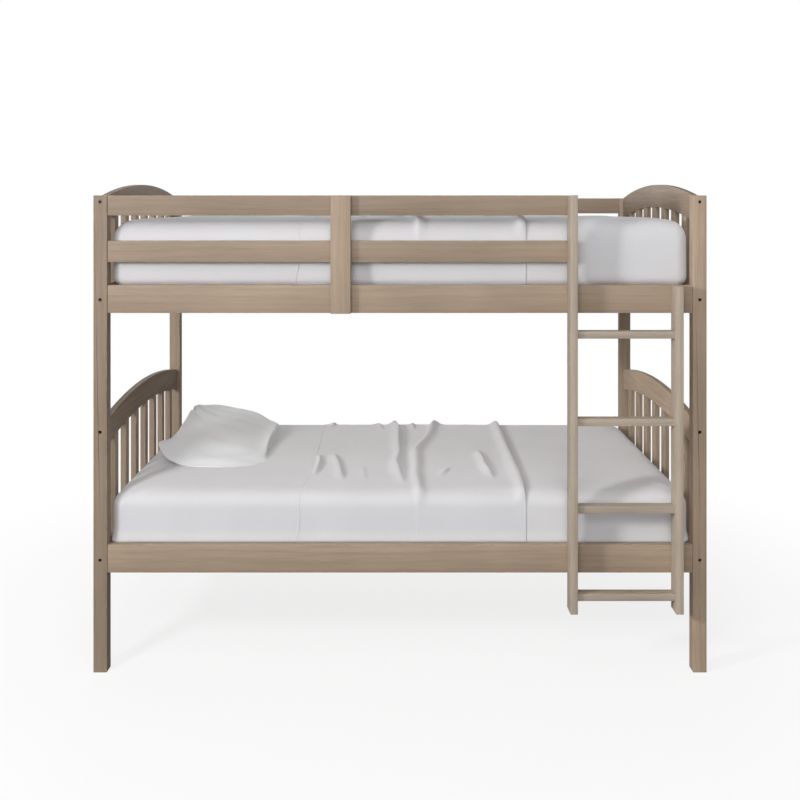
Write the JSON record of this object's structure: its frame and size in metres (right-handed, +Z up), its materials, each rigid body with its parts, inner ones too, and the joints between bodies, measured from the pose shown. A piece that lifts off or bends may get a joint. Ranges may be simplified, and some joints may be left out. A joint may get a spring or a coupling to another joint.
{
  "type": "bunk bed with ladder",
  "caption": "Wooden bunk bed of equal sleeping width above and below, with a fixed upright ladder, guard rails, arched spindle ends, mattresses and a pillow.",
  "frame": {"origin": "on the floor, at the middle of the whole footprint, from the ladder's front face to the back guard divider's back face", "axes": "+X along the bed towards the ladder end, seen from the front; +Y from the ladder side to the back; +Z up"},
  "size_m": [2.019, 1.13, 1.617],
  "materials": {
    "frame_wood": "weathered grey-brown stain over visible grain, satin",
    "slat_wood": "bare sawn softwood, matte",
    "bolt_steel": "dark zinc, socket head",
    "fitted_sheet": "white plain-weave cotton, softly creased",
    "pillow_cotton": "white plain-weave cotton, softly creased"
  },
  "bodies": {
    "frame": {"post_front_left": "frame_wood", "post_front_right": "frame_wood", "post_back_left": "frame_wood", "post_back_right": "frame_wood", "lower_left_arched_rail": "frame_wood", "lower_left_spindle_grille": "frame_wood", "lower_right_arched_rail": "frame_wood", "lower_right_spindle_grille": "frame_wood", "upper_left_arched_rail": "frame_wood", "upper_left_spindle_grille": "frame_wood", "upper_right_arched_rail": "frame_wood", "upper_right_spindle_grille": "frame_wood", "panel_bolt_front_left_lower_stretcher": "bolt_steel", "panel_bolt_front_left_lower_arch": "bolt_steel", "panel_bolt_front_left_upper_stretcher": "bolt_steel", "panel_bolt_front_left_upper_arch": "bolt_steel", "panel_bolt_front_right_lower_stretcher": "bolt_steel", "panel_bolt_front_right_lower_arch": "bolt_steel", "panel_bolt_front_right_upper_stretcher": "bolt_steel", "panel_bolt_front_right_upper_arch": "bolt_steel", "panel_bolt_back_left_lower_stretcher": "bolt_steel", "panel_bolt_back_left_lower_arch": "bolt_steel", "panel_bolt_back_left_upper_stretcher": "bolt_steel", "panel_bolt_back_left_upper_arch": "bolt_steel", "panel_bolt_back_right_lower_stretcher": "bolt_steel", "panel_bolt_back_right_lower_arch": "bolt_steel", "panel_bolt_back_right_upper_stretcher": "bolt_steel", "panel_bolt_back_right_upper_arch": "bolt_steel", "lower_front_side_rail": "frame_wood", "lower_back_side_rail": "frame_wood", "upper_front_side_rail": "frame_wood", "upper_back_side_rail": "frame_wood", "front_top_guard_rail": "frame_wood", "back_top_guard_rail": "frame_wood", "front_middle_guard_rail": "frame_wood", "back_middle_guard_rail": "frame_wood", "front_guard_divider": "frame_wood", "back_guard_divider": "frame_wood", "ladder_left_rail": "frame_wood", "ladder_right_rail": "frame_wood", "ladder_rung_1": "frame_wood", "ladder_rung_2": "frame_wood", "ladder_rung_3": "frame_wood", "ladder_rung_4": "frame_wood", "ladder_bolt_lower_left": "bolt_steel", "ladder_bolt_lower_right": "bolt_steel", "ladder_bolt_upper_left": "bolt_steel", "ladder_bolt_upper_right": "bolt_steel", "lower_front_slat_cleat": "slat_wood", "lower_back_slat_cleat": "slat_wood", "upper_front_slat_cleat": "slat_wood", "upper_back_slat_cleat": "slat_wood", "lower_slat_roll": "slat_wood", "upper_slat_roll": "slat_wood"},
    "upper_mattress": {"upper_mattress": "fitted_sheet"},
    "lower_mattress": {"lower_mattress": "fitted_sheet"},
    "pillow": {"pillow": "pillow_cotton"}
  },
  "joints": [
    {"name": "upper_mattress_lift", "type": "slide", "parent": "frame", "child": "upper_mattress", "axis": [0, 0, 1], "range_m": [0, 0.25]},
    {"name": "lower_mattress_lift", "type": "slide", "parent": "frame", "child": "lower_mattress", "axis": [0, 0, 1], "range_m": [0, 0.25]},
    {"name": "pillow_lift", "type": "slide", "parent": "lower_mattress", "child": "pillow", "axis": [0, 0, 1], "range_m": [0, 0.15]}
  ]
}
